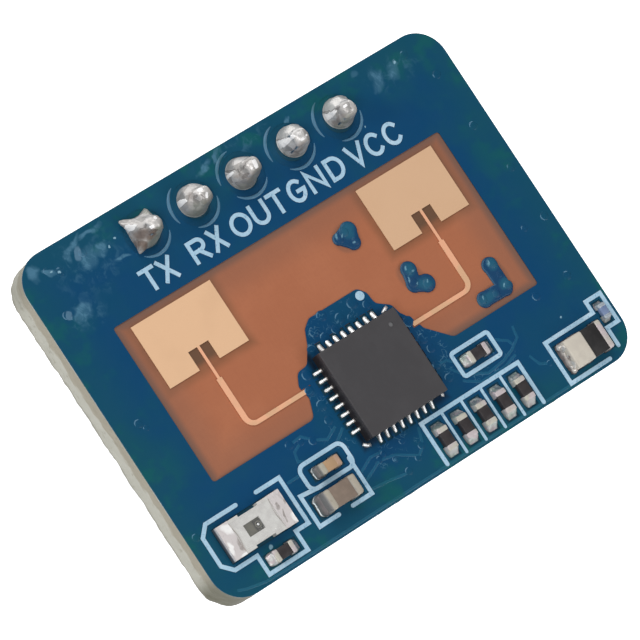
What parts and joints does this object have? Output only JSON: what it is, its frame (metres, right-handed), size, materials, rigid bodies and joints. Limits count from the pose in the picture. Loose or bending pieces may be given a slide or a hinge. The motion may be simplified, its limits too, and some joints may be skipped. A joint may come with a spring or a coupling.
{
  "type": "microwave radar sensor module",
  "caption": "Small blue radar sensor board with printed patch antennas, a radar chip, chip components and a pin header on its back.",
  "frame": {"origin": "on the middle pin's axis, in the plane of the header plastic's underside", "axes": "+Z towards the component side, +X along the pin row from TX to VCC, +Y from the components towards the pin row"},
  "size_m": [0.022, 0.016, 0.0115],
  "materials": {
    "laminate": "woven glass laminate, bare at the edge and in the window",
    "solder_mask": "blue gloss lacquer",
    "gold_plating": "matt gold over copper",
    "solder": "bright solder",
    "moulded_package": "fine matt mould compound",
    "resistor": "black coat with tinned ends",
    "brown_capacitor": "brown ceramic with tinned ends",
    "tan_capacitor": "tan ceramic with tinned ends",
    "grey_capacitor": "grey ceramic with tinned ends",
    "diode": "black moulding with a beige band",
    "led_substrate": "white substrate with plated ends",
    "clear_epoxy": "clear moulded epoxy",
    "die": "light emitting die",
    "header_plastic": "black moulded plastic",
    "ink": "matt white print"
  },
  "bodies": {
    "root": {"circuit_board": "laminate", "front_solder_mask": "solder_mask", "back_solder_mask": "solder_mask", "mask_island_top": "solder_mask", "mask_island_middle": "solder_mask", "mask_island_bottom": "solder_mask", "antenna_left": "gold_plating", "antenna_right": "gold_plating", "header_plastic": "header_plastic", "radar_chip": "moulded_package", "led_base": "led_substrate", "led_die": "die", "led_lens": "clear_epoxy", "led_resistor": "resistor", "single_resistor": "resistor", "small_capacitor": "tan_capacitor", "large_capacitor": "brown_capacitor", "tiny_capacitor": "grey_capacitor", "supply_diode": "diode", "ink_led_outline": "ink", "ink_capacitor_outline": "ink", "ink_bank_outline": "ink", "ink_diode_outline": "ink", "ink_resistor_outline": "ink", "ink_pin_one_dot": "ink", "header_pin_tx": "gold_plating", "solder_joint_tx": "solder", "header_pin_rx": "gold_plating", "solder_joint_rx": "solder", "header_pin_out": "gold_plating", "solder_joint_out": "solder", "header_pin_gnd": "gold_plating", "solder_joint_gnd": "solder", "header_pin_vcc": "gold_plating", "solder_joint_vcc": "solder", "bank_resistor_1": "resistor", "bank_resistor_2": "resistor", "bank_resistor_3": "resistor", "bank_resistor_4": "resistor", "bank_resistor_5": "resistor"}
  },
  "joints": []
}
